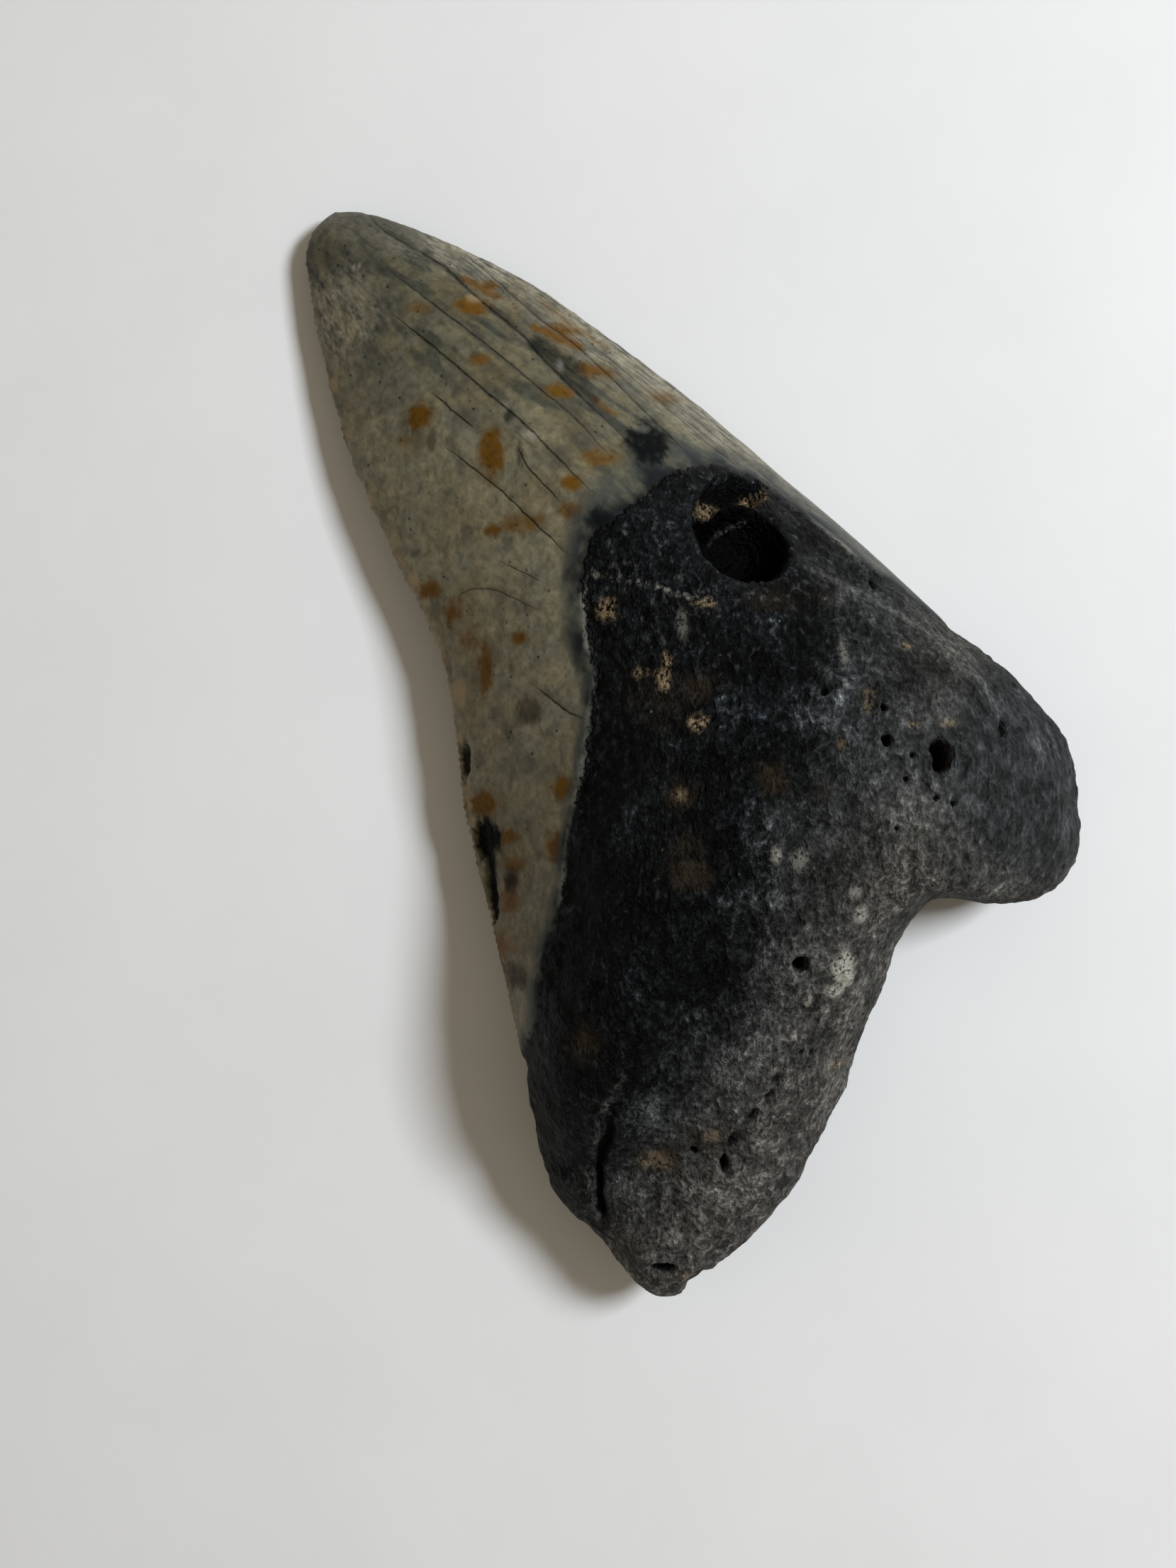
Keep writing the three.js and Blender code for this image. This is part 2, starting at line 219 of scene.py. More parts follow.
LONG_GROOVE = (
    (-15.8, -29.7), (-19.0, -32.3), (-21.8, -34.7), (-25.6, -35.9), (-29.4, -38.1), (-32.5, -40.3),
    (-35.7, -43.7),
)
BROKEN_GROOVE = ((-8.9, -44.9), (-12.1, -46.1), (-15.0, -46.5), (-18.9, -47.1), (-21.6, -48.5))
OUTER_PORES = 16
OUTER_PORE_SEED = 11

# The round boring in the root: its mouth, and the worn stretch of its rim on the tip side
BORING_MOUTH = (27.2, -3.0, 20.2)
BORING_RADIUS = 5.4
BORING_DEPTH = 8.5
BORING_LEAN = math.radians(30)
WORN_RIM = ((25.4, 1.2), (26.6, 2.3), (28.7, 2.6), (30.6, 1.9), (31.9, 0.2))
WORN_RIM_DEPTH = 2.8

# The stage: which way the window lies, and the place that the camera looks straight down on
WINDOW_WAY = (0.89, -0.45, 0.0)
CAMERA_PLACE = (-3.27, -9.59)
CAMERA_TURN = math.radians(-45)


def length(name, description, millimetres):
    """A size that a user may change."""
    return bpy.props.FloatProperty(
        name=name, description=description, default=millimetres * MM, min=0.0, precision=5, unit="LENGTH",
    )


def tint(name, description, colour):
    """A colour that a user may change."""
    return bpy.props.FloatVectorProperty(
        name=name, description=description, default=colour, size=3, min=0.0, max=1.0, subtype="COLOR",
    )


class ToothSettings(bpy.types.PropertyGroup):
    """Sizes and colours of the tooth's finish."""

    skin_size: length("Skin size", "Side of the small faces of the skin", 0.5)
    enamel_step: length("Enamel step", "How far the enamel stands over the root where it ends", 0.15)
    crack_depth: length("Crack depth", "Depth of the strongest crack in the enamel", 0.12)
    nick_pitch: length("Nick pitch", "Distance from one worn serration to the next", 0.9)
    nick_depth: length("Nick depth", "Depth of the worn serrations", 0.14)
    lump_height: length("Lump height", "Height of the broad lumps of the root", 0.5)
    grain_height: length("Grain height", "Height of the coarse grain of the root", 0.18)
    groove_depth: length("Groove depth", "Depth of the long groove in the root", 0.9)
    enamel: tint("Enamel", "Grey-olive enamel of the crown", (0.25, 0.223, 0.142))
    enamel_cool: tint("Cool enamel", "Greenish patches of the enamel", (0.205, 0.2, 0.143))
    enamel_warm: tint("Warm enamel", "Enamel with a haze of iron in it", (0.19, 0.138, 0.062))
    enamel_pale: tint("Pale enamel", "Worn enamel on the flank", (0.34, 0.315, 0.235))
    enamel_shade: tint("Enamel shade", "Blue-grey where enamel meets root", (0.009, 0.011, 0.012))
    # Painted shade: the ridge colour multiplies the enamel darker on the band near the short edge, the side
    # that faces the window
    enamel_ridge_shade: tint("Ridge", "What the ridge leaves of the colour of the enamel", (0.56, 0.55, 0.5))
    # This dark colour serves the darker tip, the mottling and the smoke, and also paints shade over the
    # lower crown
    enamel_dark_and_shade: tint("Tip", "Darker enamel at the tip and in the mottling", (0.07, 0.066, 0.048))
    enamel_foot: tint("Enamel foot", "Smoky blue-grey of the enamel near the root", (0.04, 0.046, 0.043))
    enamel_blue: tint("Blue enamel", "Blue-grey stripes along the flank", (0.085, 0.092, 0.079))
    rust: tint("Rust", "Iron stains of the enamel", (0.124, 0.056, 0.004))
    tan: tint("Tan", "Sand and clay in the pits and nicks", (0.32, 0.235, 0.135))
    brown: tint("Brown", "Brown patches of the root", (0.026, 0.019, 0.011))
    # The chalk colour also paints the painted highlights of the glint spots on the enamel
    chalk: tint("Chalk", "Chalky crust on the root", (0.42, 0.4, 0.34))
    root_dark: tint("Dark root", "Black of the root", (0.0035, 0.0043, 0.0048))
    root_slate: tint("Slate root", "Blue-grey of the root", (0.032, 0.0345, 0.0345))
    # The worn grey also paints a highlight along the rim of the root: partly wear, partly painted highlight
    root_wear_and_highlight: tint("Root fibre", "Worn grey of the root", (0.073, 0.07, 0.062))
    # Painted highlights: the root glint colour paints pale specks and streaks that stand in for glints of
    # the window
    root_glint: tint("Root glint", "Pale wrinkles and specks of the root", (0.11, 0.112, 0.11))
    # Painted shade: near black painted inside the boring, the pores, the dips and the grooves
    hollow_shade: tint("Hollow", "Inside the boring, the pores and the grooves", (0.0008, 0.0008, 0.0008))


class StageSettings(bpy.types.PropertyGroup):
    """Floor, light and camera."""

    floor_side: length("Floor side", "Side of the square floor", 3000)
    floor_tint: tint("Floor", "Colour of the floor", (0.8, 0.8, 0.79))
    window_height: length("Window height", "Height of the soft light over the floor", 498)
    window_reach: length("Window reach", "Distance of the soft light from the tooth along the floor", 418)
    window_side: length("Window side", "Side of the soft light", 160)
    window_tint: tint("Window tint", "Colour of the soft light", (0.88, 0.93, 1.0))
    window_power: bpy.props.FloatProperty(
        name="Window power", description="Power of the soft light", default=4.15, min=0.0, unit="POWER",
    )
    fill_tint: tint("Fill tint", "Colour of the light from all round", (1.0, 0.87, 0.68))
    fill_strength: bpy.props.FloatProperty(
        name="Fill", description="Strength of the light from all round", default=0.26, min=0.0,
    )
    camera_height: length("Camera height", "Height of the camera over the floor", 208)
    camera_lens: bpy.props.FloatProperty(
        name="Lens", description="Focal length for a picture 36 mm high", default=40.9, unit="CAMERA",
    )


# Fields: one value for each point of the skin

def fall(distance, full, none):
    """1 up to full, 0 from none on, and smooth between them."""
    share = np.clip((none - distance) / (none - full), 0.0, 1.0)
    return share * share * (3.0 - 2.0 * share)


def ripple(place, size, seed, octaves=2):
    """Smooth random values about 0, with swells of that size in millimetres."""
    shift = Vector((seed * 3.1, seed * 1.7, seed * 2.3))
    return np.array([noise.fractal(Vector(point) + shift, 1.0, 2.0, octaves) for point in place / size])


def line_offset(line, x, y):
    """How far each place is from a line, + on its left and - on its right, and how far along it is."""
    nearest = np.full(x.shape, np.inf)
    offset = np.zeros(x.shape)
    along = np.zeros(x.shape)
    travelled = 0.0
    for (start_x, start_y), (end_x, end_y) in zip(line, line[1:]):
        run = math.hypot(end_x - start_x, end_y - start_y)
        way_x = (end_x - start_x) / run
        way_y = (end_y - start_y) / run
        step = np.clip((x - start_x) * way_x + (y - start_y) * way_y, 0.0, run)
        gap_x = x - start_x - step * way_x
        gap_y = y - start_y - step * way_y
        gap = np.hypot(gap_x, gap_y)
        nearer = gap < nearest
        side = np.where(way_x * gap_y - way_y * gap_x < 0.0, -1.0, 1.0)
        nearest = np.where(nearer, gap, nearest)
        offset = np.where(nearer, gap * side, offset)
        along = np.where(nearer, travelled + step, along)
        travelled += run
    return offset, along, travelled


def spot_distance(spot, x, y):
    """Distance from a spot's centre as a share of its size."""
    across = (x - spot[0] - y + spot[1]) * math.sqrt(0.5)
    up = (x - spot[0] + y - spot[1]) * math.sqrt(0.5)
    return np.hypot(across / spot[2], up / spot[3])


def spots(marks, x, y, ragged, core=0.55, rim=1.25):
    """The strength of the spots inside them and 0 outside, with ragged edges."""
    field = np.zeros(x.shape)
    for mark in marks:
        field = np.maximum(field, mark[4] * fall(spot_distance(mark, x, y) + ragged, core, rim))
    return field


def streaks(marks, x, y, ragged):
    """The strength of the streaks along their lines and 0 away from them, with ragged edges."""
    field = np.zeros(x.shape)
    for half_width, strength, line in marks:
        gap = np.abs(line_offset(line, x, y)[0]) / half_width
        field = np.maximum(field, strength * fall(gap + ragged, 0.3, 1.3))
    return field


def crack_lines(cracks, x, y):
    """Offset from the nearest crack, and how strong that crack is close by."""
    nearest = np.full(x.shape, np.inf)
    side = np.zeros(x.shape)
    near = np.zeros(x.shape)
    for strength, line in cracks:
        offset, along, whole = line_offset(line, x, y)
        nearer = np.abs(offset) < nearest
        taper = fall(np.abs(along / whole - 0.5), 0.3, 0.52)
        close = strength * fall(np.abs(offset), 0.8, 1.3) * (0.35 + 0.65 * taper)
        nearest = np.where(nearer, np.abs(offset), nearest)
        side = np.where(nearer, offset, side)
        near = np.where(nearer, close, near)
    return side, near


def outer_cracks():
    """Cracks of the outer face, which run from its foot towards the tip."""
    draw = random.Random(OUTER_CRACK_SEED)
    cracks = []
    for number in range(OUTER_CRACKS):
        foot_x = -20.0 + 54.0 * (number + draw.uniform(0.1, 0.9)) / OUTER_CRACKS
        start = draw.uniform(0.02, 0.3)
        end = draw.uniform(start + 0.25, 0.85)
        line = []
        for step in range(5):
            share = start + (end - start) * step / 4.0
            x = foot_x + (TIP[0] - foot_x) * share + draw.uniform(-0.4, 0.4)
            line.append((x, -19.0 + (TIP[1] + 19.0) * share))
        cracks.append((draw.uniform(0.4, 0.9), tuple(line)))
    return cracks


def outer_pores():
    """Pores scattered over the outer face of the root."""
    draw = random.Random(OUTER_PORE_SEED)
    pores = []
    for _ in range(OUTER_PORES):
        size = draw.uniform(0.35, 0.9)
        pores.append((draw.uniform(-30.0, 32.0), draw.uniform(-52.0, -28.0), size, size, size * 1.6))
    return pores


def boring_way():
    """The way down the boring."""
    return np.array((-math.sin(BORING_LEAN), 0.0, -math.cos(BORING_LEAN)))


def boring_depth(place):
    """How far down the boring each point lies, from 0 at its mouth to 1 at its floor, and 0 outside it."""
    down = boring_way()
    from_mouth = place - np.array(BORING_MOUTH)
    along = from_mouth @ down
    away = np.linalg.norm(from_mouth - along[:, None] * down, axis=1)
    return fall(away, BORING_RADIUS + 0.4, BORING_RADIUS + 1.0) * np.clip(along / BORING_DEPTH, 0.0, 1.0)


def survey(place, normal):
    """What is where on the skin, from each point's place in millimetres and its normal."""
    x = place[:, 0]
    y = place[:, 1]
    boring = boring_depth(place)
    inner = np.maximum(fall(-normal[:, 2], -0.1, 0.15), fall(-boring, -0.1, 0.0))
    ragged = 0.3 * ripple(place, 1.1, 1)
    field = {"inner": inner, "boring": boring}

    inner_foot = line_offset(INNER_FOOT, x, y)[0]
    outer_foot = line_offset(OUTER_FOOT, x, y)[0]
    field["crown"] = inner * inner_foot + (1.0 - inner) * outer_foot
    field["fade"] = 0.7 + 0.9 * fall(-x, -8.0, 0.0) + 1.2 * fall(np.abs(x - 23.0), 5.0, 10.0)

    long_edge = line_offset(LONG_EDGE, x, y)
    short_edge = line_offset(SHORT_EDGE, x, y)
    field["long_edge"] = np.abs(long_edge[0])
    field["long_along"] = long_edge[1]
    field["short_edge"] = np.abs(short_edge[0])
    field["short_along"] = short_edge[1]
    beside_tip = 0.8 * fall(np.hypot(x - TIP[0] + 6.0, y - TIP[1] + 10.0), 2.0, 8.0)
    field["flank"] = inner * np.maximum(fall(field["short_edge"], 1.0, 8.0), beside_tip)
    # Ridge: the band near the short edge that takes the blue stripes and the painted shade
    field["ridge"] = inner * fall(field["short_edge"], 9.0, 27.0)
    # Darker enamel at the tip, and a painted shade over the lower crown towards the root
    tip = 0.9 * fall(np.hypot(x - TIP[0] - 6.0, y - TIP[1] + 4.0), 2.0, 11.0)
    field["dark_tip_and_shade"] = np.maximum(tip, 0.4 * inner * fall(y, -12.0, 16.0))

    inner_side, inner_near = crack_lines(CRACKS, x, y)
    outer_side, outer_near = crack_lines(outer_cracks(), x, y)
    on_inner = inner > 0.5
    field["crack_side"] = np.where(on_inner, inner_side, outer_side) + 0.12 * ripple(place, 1.5, 2)
    field["crack_near"] = np.where(on_inner, inner_near * inner, outer_near * (1.0 - inner))
    field["crack_near"] *= fall(-field["crown"], -1.0, 0.3)

    nicks = fall(field["long_edge"], 0.4, 1.5) * fall(np.abs(long_edge[1] - 46.0), 22.0, 34.0)
    nicks *= np.clip(0.2 + 2.2 * ripple(place, 1.6, 3), 0.0, 1.0)
    rust = spots(RUST_SPOTS, x, y, 1.6 * ragged, 0.2, 1.5)
    field["rust"] = inner * np.maximum(rust, streaks(RUST_STREAKS, x, y, ragged))
    halo = 0.7 * spots(RUST_SPOTS, x, y, ragged, 0.6, 2.0)
    field["haze"] = inner * np.maximum(spots(HAZE_SPOTS, x, y, ragged, 0.0, 1.6), halo)
    field["tan"] = np.maximum(inner * spots(TAN_SPOTS, x, y, ragged * 1.6), 0.75 * nicks)
    field["brown"] = inner * spots(BROWN_SPOTS, x, y, ragged * 1.6, 0.2, 1.4)
    field["chalk"] = inner * spots(CHALK_SPOTS, x, y, ragged * 1.4)
    torn = 0.8 * ragged + 0.25 * ripple(place, 0.55, 15)
    dark = np.maximum(spots(DARK_SPOTS, x, y, torn, 0.5, 1.3), streaks(DARK_STREAKS, x, y, torn))
    field["dark"] = inner * dark
    broken = 1.2 * ripple(place, 0.9, 14)
    # The pale field holds the pale streaks and the painted highlights of the glint spots
    field["pale"] = inner * np.maximum(spots(PAINTED_GLINT_SPOTS, x, y, ragged), streaks(PALE_STREAKS, x, y, broken))

    rim = np.abs(line_offset(ROOT_RIM, x, y)[0])
    away = np.hypot(x - ARC_CENTRE[0], y - ARC_CENTRE[1])
    field["fibre_across"] = away
    field["fibre_along"] = away * np.arctan2(x - ARC_CENTRE[0], y - ARC_CENTRE[1])
    field["lobe"] = inner * fall(np.hypot(x - 32.0, y + 42.0), 8.0, 17.0) + (1.0 - inner) * 0.3
    border = line_offset(GREY_BORDER, x, y)[0] + 3.5 * ripple(place, 6.0, 11, octaves=4)
    field["grey"] = inner * fall(-border, -5.5, 6.0) + (1.0 - inner) * 0.6
    tones = [mark[4] * fall(spot_distance(mark, x, y), 0.0, 1.5) for mark in ROOT_TONES]
    field["tone"] = inner * np.sum(tones, axis=0)
    # Where the painted glints of the root are densest, round the boring
    field["glinting"] = inner * (0.25 + 0.75 * fall(np.hypot(x - 24.0, y), 8.0, 18.0))
    # Near the rim of the root: partly wear, partly a painted highlight along the rim
    field["rim_wear_and_highlight"] = inner * fall(rim, 5.0, 19.0) * (1.0 - field["lobe"])
    return field


def pits(place, field):
    """How deep the pores, dips and worn places of the root go, and how much painted shade darkens them
    inside.
    """
    x = place[:, 0]
    y = place[:, 1]
    depth = np.zeros(x.shape)
    sunk = fall(-field["boring"], -0.5, -0.02)
    ragged = 0.22 * ripple(place, 0.9, 4)
    for facing, holes in ((field["inner"], PORES), (1.0 - field["inner"], outer_pores())):
        for hole in holes:
            inside = facing * fall(spot_distance(hole, x, y) + ragged, 0.6, 1.2)
            depth = np.maximum(depth, hole[4] * inside)
            sunk = np.maximum(sunk, inside)
    for dip in DIPS:
        inside = field["inner"] * fall(spot_distance(dip, x, y) + ragged, 0.4, 1.3)
        depth = np.maximum(depth, dip[4] * inside)
        sunk = np.maximum(sunk, 0.3 * inside)
    field["worn"] = fall(np.abs(line_offset(WORN_RIM, x, y)[0]) + ragged, 0.9, 1.8) * field["inner"]
    return depth, np.maximum(sunk, field["worn"])


def grooves(place, field):
    """The groove lines of the long lobe: how deep they are, and the pale lip beside the long one."""
    x = place[:, 0]
    y = place[:, 1]
    side, along, whole = line_offset(LONG_GROOVE, x, y)
    side = side + 0.35 * ripple(place, 2.2, 5)
    swell = 0.15 + 0.85 * fall(np.abs(along / whole - 0.8), 0.15, 0.4)
    inside = field["inner"] * swell * fall(np.abs(side), 0.1, 0.75)
    lip = field["inner"] * fall(np.abs(side + 1.0), 0.1, 0.6) * fall(np.abs(along / whole - 0.6), 0.3, 0.5)
    lip *= np.clip(0.5 + 1.5 * ripple(place, 1.4, 13), 0.0, 1.0)
    broken = line_offset(BROKEN_GROOVE, x, y)[0]
    beads = np.clip(0.3 + 1.4 * ripple(place, 1.8, 6), 0.0, 1.0)
    inside = np.maximum(inside, field["inner"] * beads * fall(np.abs(broken), 0.2, 0.9))
    return inside, lip


# The skin

def cad_skin(settings):
    """The tooth as an even skin of small faces over the CAD solid."""
    shape = bmesh.new()
    shape.from_mesh(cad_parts["tooth"].data)
    bmesh.ops.remove_doubles(shape, verts=shape.verts, dist=WELD)
    bmesh.ops.join_triangles(
        shape,
        faces=shape.faces,
        angle_face_threshold=math.radians(25),
        angle_shape_threshold=math.radians(50),
    )
    crease = shape.edges.layers.float.new("crease_edge")
    for edge in shape.edges:
        if edge.calc_face_angle(0.0) > math.radians(45):
            edge[crease] = 0.5
    mesh = bpy.data.meshes.new("fossil_tooth")
    shape.to_mesh(mesh)
    shape.free()
    tooth = bpy.data.objects.new("fossil_tooth", mesh)
    bpy.context.scene.collection.objects.link(tooth)
    rounding = tooth.modifiers.new("rounding", "SUBSURF")
    rounding.levels = 2
    rounding.render_levels = 2
    skin = tooth.modifiers.new("skin", "REMESH")
    skin.mode = "VOXEL"
    skin.voxel_size = settings.skin_size
    whole = tooth.evaluated_get(bpy.context.evaluated_depsgraph_get())
    tooth.data = bpy.data.meshes.new_from_object(whole)
    tooth.data.name = "fossil_tooth"
    tooth.modifiers.clear()
    bpy.data.meshes.remove(mesh)
    return tooth


def detail_distance(place):
    """Distance in millimetres to the nearest small feature of the inner face or to a cutting edge."""
    x = place[:, 0]
    y = place[:, 1]
    nearest = np.full(x.shape, np.inf)
    for hole in PORES:
        nearest = np.minimum(nearest, np.hypot(x - hole[0], y - hole[1]) - max(hole[2], hole[3]))
    for line in (LONG_GROOVE, BROKEN_GROOVE):
        nearest = np.minimum(nearest, np.abs(line_offset(line, x, y)[0]) - 0.6)
    for line in (LONG_EDGE, SHORT_EDGE):
        nearest = np.minimum(nearest, np.abs(line_offset(line, x, y)[0]) - 0.3)
    return nearest


def refine(shape, reach):
    """Splits the faces near small features into finer ones."""
    shape.faces.ensure_lookup_table()
    middle = np.array([face.calc_center_median() for face in shape.faces]) / MM
    chosen = np.flatnonzero(detail_distance(middle) < reach)
    edges = {edge for number in chosen for edge in shape.faces[number].edges}
    bmesh.ops.subdivide_edges(shape, edges=list(edges), cuts=1, use_grid_fill=True)


def edge_gap(shape):
    """Distance in millimetres of each point from the short edge, which is worn smooth."""
    place = np.array([vert.co for vert in shape.verts]) / MM
    return np.abs(line_offset(SHORT_EDGE, place[:, 0], place[:, 1])[0])


def even_out(tooth):
    """Takes the steps out of the skin and makes it finer where the tooth has small features."""
    shape = bmesh.new()
    shape.from_mesh(tooth.data)
    for _ in range(3):
        bmesh.ops.smooth_vert(
            shape, verts=shape.verts, factor=0.5, use_axis_x=True, use_axis_y=True, use_axis_z=True,
        )
    worn = [vert for vert, gap in zip(shape.verts, edge_gap(shape)) if gap < SHORT_EDGE_WEAR]
    for _ in range(10):
        bmesh.ops.smooth_vert(
            shape, verts=worn, factor=0.5, use_axis_x=True, use_axis_y=True, use_axis_z=True,
        )
    refine(shape, 0.6)
    shape.to_mesh(tooth.data)
    shape.free()


def skin_points(mesh):
    """Places in millimetres and normals of a mesh's points."""
    count = len(mesh.vertices)
    place = np.empty(count * 3)
    mesh.vertices.foreach_get("co", place)
    normal = np.empty(count * 3)
    mesh.vertex_normals.foreach_get("vector", normal)
    return place.reshape(-1, 3) / MM, normal.reshape(-1, 3)


def root_relief(place, root, settings):
    """Lumps and coarse grain of the root, in millimetres."""
    lumps = ripple(place, 9.0, 7) + 0.5 * ripple(place, 3.2, 8)
    grain = ripple(place, 1.3, 9, octaves=3)
    return root * (settings.lump_height / MM * lumps + settings.grain_height / MM * grain)


def edge_relief(field, place, settings):
    """Worn serrations and chips along the cutting edges, in millimetres."""
    pitch = settings.nick_pitch / MM
    wear = np.clip(0.5 + 1.2 * ripple(place, 4.0, 10), 0.0, 1.0)
    relief = np.zeros(len(place))
    for edge, along, strength in (("long_edge", "long_along", 1.0), ("short_edge", "short_along", 0.1)):
        teeth = 0.5 + 0.5 * np.sin(2.0 * math.pi * field[along] / pitch)
        relief -= strength * wear * teeth * fall(field[edge], 0.25, 1.1)
    return relief * settings.nick_depth / MM * fall(-field["crown"], -2.0, 0.0)


# What the skin stores for the material
SHADED_FIELDS = (
    "crown", "fade", "flank", "ridge", "dark_tip_and_shade", "smooth",
    "crack_side", "crack_near",
    "rust", "haze", "tan", "brown", "chalk", "dark", "pale",
    "fibre_across", "fibre_along", "lobe", "grey", "rim_wear_and_highlight", "tone", "glinting", "sunk",
)


def carve(tooth, settings):
    """Moves the skin to the tooth's relief, and stores what is where for the material."""
    mesh = tooth.data
    place, normal = skin_points(mesh)
    field = survey(place, normal)
    crown = fall(-field["crown"], -0.5, 0.2)
    depth, sunk = pits(place, field)
    groove, lip = grooves(place, field)

    rise = settings.enamel_step / MM * crown
    rise += root_relief(place, 1.0 - crown, settings)
    rise += edge_relief(field, place, settings)
    rise += crown * 0.06 * ripple(place, 7.0, 12)
    rise -= 0.8 * field["dark"] * fall(field["long_edge"], 1.0, 2.5)
    rise -= settings.crack_depth / MM * field["crack_near"] * fall(np.abs(field["crack_side"]), 0.05, 0.4)
    rise -= depth + settings.groove_depth / MM * groove
    rise += 0.15 * lip + 0.25 * field["chalk"] + 0.12 * field["pale"]
    resting = fall(place[:, 2], 0.05, 0.6) * fall(normal[:, 2], -0.97, -0.85)
    rise = np.where(rise < 0.0, rise, rise * (1.0 - resting))

    moved = (place + normal * rise[:, None] + WORN_RIM_DEPTH * field["worn"][:, None] * boring_way()) * MM
    moved[:, 2] = np.maximum(moved[:, 2], 0.0)
    mesh.vertices.foreach_set("co", moved.ravel())

    field["pale"] = np.maximum(field["pale"], 0.2 * lip)
    field["sunk"] = np.maximum(sunk, groove)
    field["smooth"] = fall(-field["crown"], 1.0, 5.0) * fall(place[:, 0], 6.0, 16.0)
    for name in SHADED_FIELDS:
        layer = mesh.attributes.new(name, "FLOAT", "POINT")
        layer.data.foreach_set("value", field[name].astype(np.float32))
    mesh.update()
    for polygon in mesh.polygons:
        polygon.use_smooth = True


# Shader nodes

def feed(tree, socket, value):
    """Links a socket to another, or sets its value."""
    if isinstance(value, bpy.types.NodeSocket):
        tree.links.new(value, socket)
    elif hasattr(socket.default_value, "__len__") and len(socket.default_value) == 4:
        socket.default_value = (*value, 1.0)
    else:
        socket.default_value = value


def add(tree, kind, inputs, **options):
    """Adds a node, with its options and inputs set."""
    node = tree.nodes.new(kind)
    for name, value in options.items():
        setattr(node, name, value)
    for name, value in inputs.items():
        feed(tree, node.inputs[name], value)
    return node


def stored(tree, name):
    """A value that the skin stores."""
    return add(tree, "ShaderNodeAttribute", {}, attribute_name=name).outputs["Fac"]


def maths(tree, operation, first, second=0.0, third=0.0):
    """One sum."""
    return add(tree, "ShaderNodeMath", {0: first, 1: second, 2: third}, operation=operation).outputs[0]


def product(tree, *values):
    """Values multiplied together."""
    whole = values[0]
    for value in values[1:]:
        whole = maths(tree, "MULTIPLY", whole, value)
    return whole


def ramp(tree, value, low, high, least=0.0, most=1.0):
    """least at low, most at high, and smooth between them."""
    inputs = {"Value": value, "From Min": low, "From Max": high, "To Min": least, "To Max": most}
    return add(tree, "ShaderNodeMapRange", inputs, interpolation_type="SMOOTHSTEP").outputs["Result"]


def mixed(tree, share, under, over, blend="MIX"):
    """One colour over another by a share."""
    inputs = {0: share, 6: under, 7: over}
    return add(tree, "ShaderNodeMix", inputs, data_type="RGBA", blend_type=blend).outputs[2]


def scaled(tree, place, sizes):
    """Places measured in steps of these sizes."""
    inputs = {0: place, 1: tuple(1.0 / size for size in sizes)}
    return add(tree, "ShaderNodeVectorMath", inputs, operation="MULTIPLY").outputs[0]


def turned(tree, place, angle, sizes):
    """Places measured in steps of these sizes along axes turned by an angle."""
    inputs = {"Vector": place, "Rotation": (0.0, 0.0, angle), "Scale": sizes}
    return add(tree, "ShaderNodeMapping", inputs, vector_type="TEXTURE").outputs[0]


def grain(tree, place, size, detail=2.0, roughness=0.5, swirl=0.0):
    """Noise with swells of that size."""
    inputs = {
        "Vector": place, "Scale": 1.0 / size, "Detail": detail, "Roughness": roughness, "Distortion": swirl,
    }
    return add(tree, "ShaderNodeTexNoise", inputs).outputs["Fac"]


def specks(tree, place, spacing, size, share):
    """Round specks of a size, scattered over a share of the places a spacing apart."""
    cells = add(tree, "ShaderNodeTexVoronoi", {"Vector": place, "Scale": 1.0 / spacing})
    chosen = maths(tree, "LESS_THAN", cells.outputs["Color"], share)
    inside = ramp(tree, cells.outputs["Distance"], size / spacing, 0.45 * size / spacing)
    return product(tree, chosen, inside)


def crack_line(tree):
    """1 in the cracks of the enamel, and how near each place is to one."""
    near = stored(tree, "crack_near")
    offset = maths(tree, "ABSOLUTE", stored(tree, "crack_side"))
    inside = maths(tree, "MULTIPLY_ADD", near, -0.2, offset)
    line = product(tree, ramp(tree, inside, 0.05, -0.15), ramp(tree, near, 0.0, 0.4))
    return line, product(tree, ramp(tree, offset, 0.9, 0.1), near)


